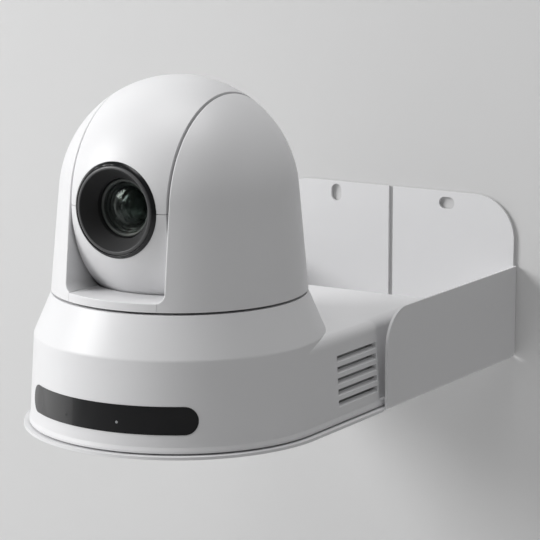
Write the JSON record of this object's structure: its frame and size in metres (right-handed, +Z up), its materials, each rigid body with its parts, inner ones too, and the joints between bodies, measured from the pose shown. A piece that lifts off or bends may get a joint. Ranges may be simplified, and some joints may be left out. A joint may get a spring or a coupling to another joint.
{
  "type": "wall bracket with pan-tilt camera",
  "caption": "White folded-sheet wall shelf with side cheeks and slotted back flanges, carrying a pan-tilt camera: round base, dark front window, domed head and lens.",
  "frame": {"origin": "midway between the two lower wall holes, in the plane of the wall", "axes": "+Y out of the back, into the wall; +Z up; +X to the right for someone who faces the lens"},
  "size_m": [0.1674, 0.3091, 0.187],
  "materials": {
    "bracket_white": "powder coat, satin white",
    "steel": "zinc plated",
    "pad_rubber": "matt black",
    "housing_white": "fine matt white",
    "dark_plastic": "matt black",
    "panel_black": "smoked, glossy",
    "indicator_dark": "clear, unlit",
    "indicator_pale": "clear, unlit",
    "socket_metal": "nickel plated",
    "board_green": "solder mask",
    "cast_grey": "die cast",
    "motor_metal": "plated can",
    "gear_plastic": "acetal",
    "pinion_brass": "machined",
    "bearing_steel": "ground",
    "lens_glass": "coated, greenish",
    "bezel_black": "satin black"
  },
  "bodies": {
    "bracket": {"wall_bracket": "bracket_white", "camera_screw": "steel", "bracket_screws": "steel", "base_pads": "pad_rubber", "base_floor": "steel", "base_housing": "housing_white", "vent_baffles": "dark_plastic", "front_panel": "panel_black", "power_indicator": "indicator_dark", "standby_indicator": "indicator_pale", "rear_connector_panel": "dark_plastic", "network_socket": "socket_metal", "control_socket": "socket_metal", "video_socket": "socket_metal", "power_socket": "dark_plastic", "main_circuit_board": "board_green", "pan_frame": "cast_grey", "pan_motor": "motor_metal", "retaining_clip": "steel"},
    "pan_pinion": {"pan_pinion": "pinion_brass"},
    "head": {"pan_bearing": "bearing_steel", "pan_gear": "gear_plastic", "turntable": "cast_grey", "yoke_frame": "steel", "yoke_screws": "steel", "right_arm_cover": "housing_white", "left_arm_cover": "housing_white", "front_skirt": "housing_white", "rear_cover": "housing_white", "tilt_bushes": "pinion_brass", "tilt_motor_bracket": "steel", "tilt_motor": "motor_metal"},
    "tilt_pinion": {"tilt_pinion": "pinion_brass"},
    "lens_unit": {"tilt_gear": "gear_plastic", "right_tilt_shaft": "steel", "left_tilt_shaft": "steel", "tilt_frame": "steel", "camera_block": "cast_grey", "sensor_board": "board_green", "lens_barrel": "dark_plastic", "front_lens": "lens_glass", "lens_hood": "dark_plastic", "lens_bezel": "bezel_black", "upper_shell": "housing_white", "lower_shell": "housing_white"}
  },
  "joints": [
    {"name": "head_pan", "type": "hinge", "parent": "bracket", "child": "head", "pos_m": [0, -0.2266, 0.0335], "axis": [0, 0, 1], "range_deg": [-170, 170]},
    {"name": "pan_pinion_spin", "type": "hinge", "parent": "bracket", "child": "pan_pinion", "pos_m": [-0.04, -0.2266, 0.0215], "axis": [0, 0, 1], "range_deg": [-515, 515]},
    {"name": "lens_tilt", "type": "hinge", "parent": "head", "child": "lens_unit", "pos_m": [0, -0.2266, 0.0965], "axis": [-1, 0, 0], "range_deg": [-20, 90]},
    {"name": "tilt_pinion_spin", "type": "hinge", "parent": "head", "child": "tilt_pinion", "pos_m": [0.0395, -0.2266, 0.0685], "axis": [-1, 0, 0], "range_deg": [-230, 55]}
  ],
  "couplings": [
    {"joint": "pan_pinion_spin", "follows": "head_pan", "ratio": -3},
    {"joint": "tilt_pinion_spin", "follows": "lens_tilt", "ratio": -2.5}
  ]
}
